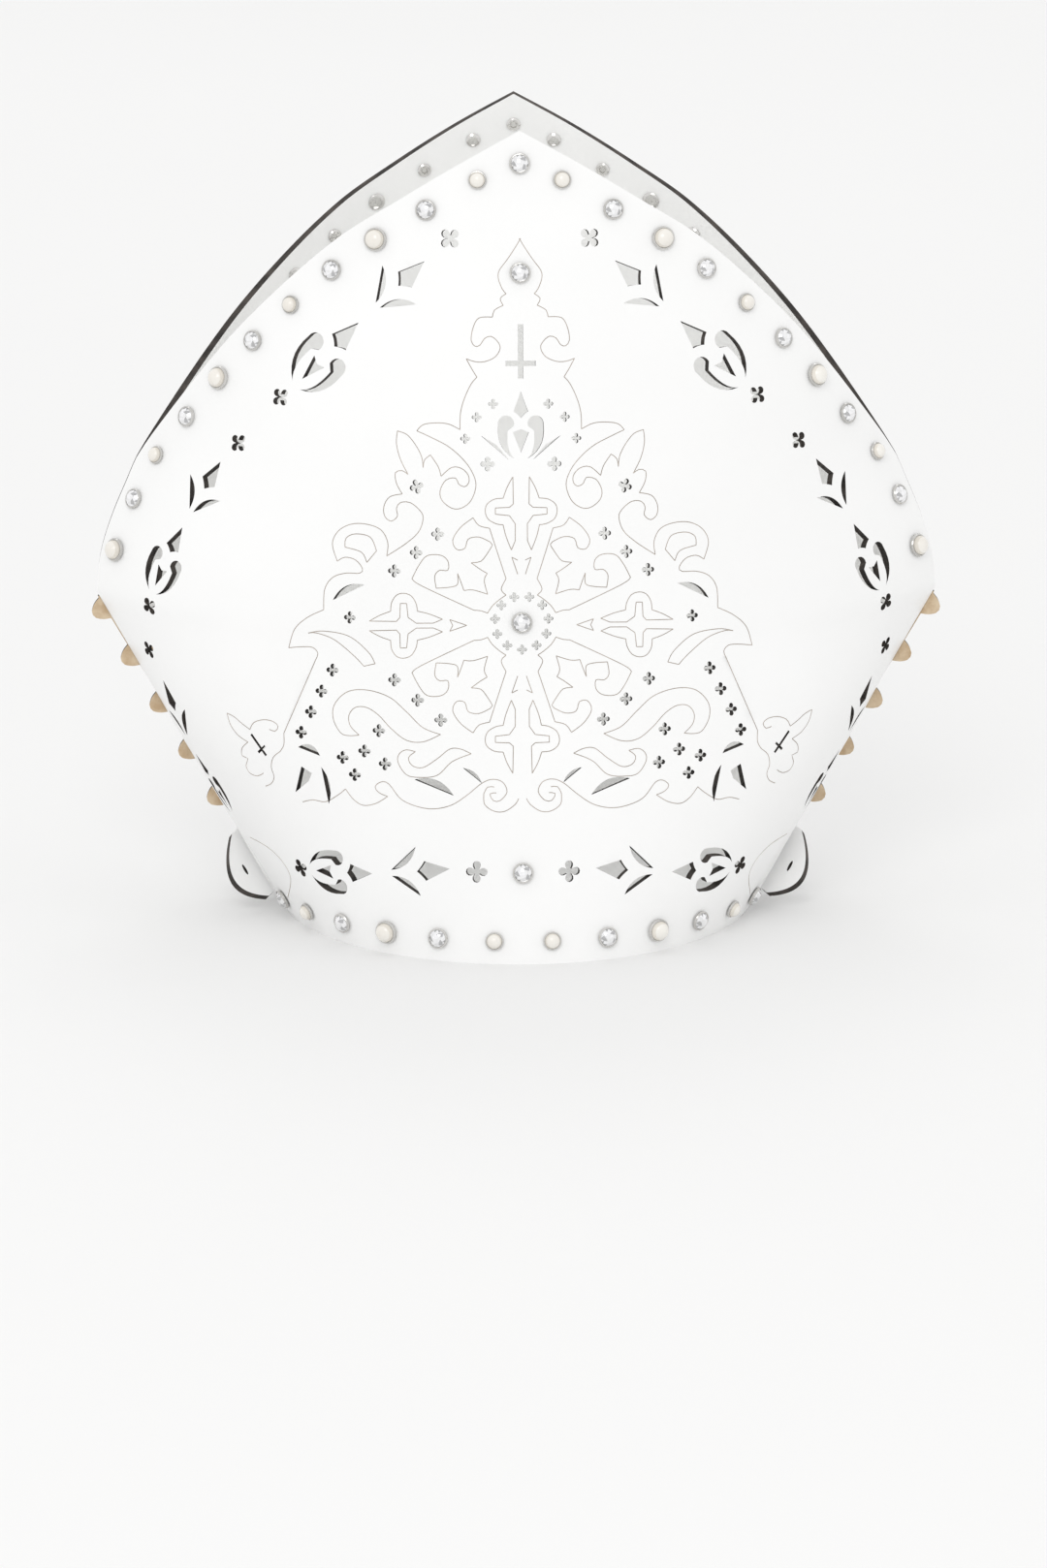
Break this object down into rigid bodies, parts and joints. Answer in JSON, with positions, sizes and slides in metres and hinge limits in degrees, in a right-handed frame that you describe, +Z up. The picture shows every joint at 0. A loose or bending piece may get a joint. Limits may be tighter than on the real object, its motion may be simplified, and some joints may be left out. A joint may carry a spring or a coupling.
{
  "type": "bishop mitre",
  "caption": "Stiff white leather mitre of two pierced panels with crystal and pearl studs, toothed side seams and folded ear flaps, open between its two points.",
  "frame": {"origin": "on the rim's plane, midway between the sides and midway between the front and back panels", "axes": "+Z up towards the two points, -Y out of the front panel, +X to the right as seen from the front"},
  "size_m": [0.3236, 0.2072, 0.305],
  "materials": {
    "white_leather": "smooth, satin, cut edges burnt dark",
    "flesh_side_leather": "raw flesh side",
    "crystal": "faceted, in a bright steel cup",
    "pearl": "pearl lustre, in a bright steel cup",
    "steel": "polished"
  },
  "bodies": {
    "root": {"front_panel": "white_leather", "back_panel": "white_leather", "side_strip_left": "flesh_side_leather", "side_strip_right": "flesh_side_leather", "ear_flap_left": "white_leather", "ear_flap_right": "white_leather", "crystal_stud_01": "crystal", "crystal_stud_02": "crystal", "crystal_stud_03": "crystal", "crystal_stud_04": "crystal", "crystal_stud_05": "crystal", "crystal_stud_06": "crystal", "crystal_stud_07": "crystal", "crystal_stud_08": "crystal", "crystal_stud_09": "crystal", "crystal_stud_10": "crystal", "crystal_stud_11": "crystal", "crystal_stud_12": "crystal", "crystal_stud_13": "crystal", "crystal_stud_14": "crystal", "crystal_stud_15": "crystal", "crystal_stud_16": "crystal", "crystal_stud_17": "crystal", "crystal_stud_18": "crystal", "crystal_stud_19": "crystal", "crystal_stud_20": "crystal", "pearl_stud_01": "pearl", "pearl_stud_02": "pearl", "pearl_stud_03": "pearl", "pearl_stud_04": "pearl", "pearl_stud_05": "pearl", "pearl_stud_06": "pearl", "pearl_stud_07": "pearl", "pearl_stud_08": "pearl", "pearl_stud_09": "pearl", "pearl_stud_10": "pearl", "pearl_stud_11": "pearl", "pearl_stud_12": "pearl", "pearl_stud_13": "pearl", "pearl_stud_14": "pearl", "pearl_stud_15": "pearl", "pearl_stud_16": "pearl", "pearl_stud_17": "pearl", "pearl_stud_18": "pearl"}
  },
  "joints": []
}
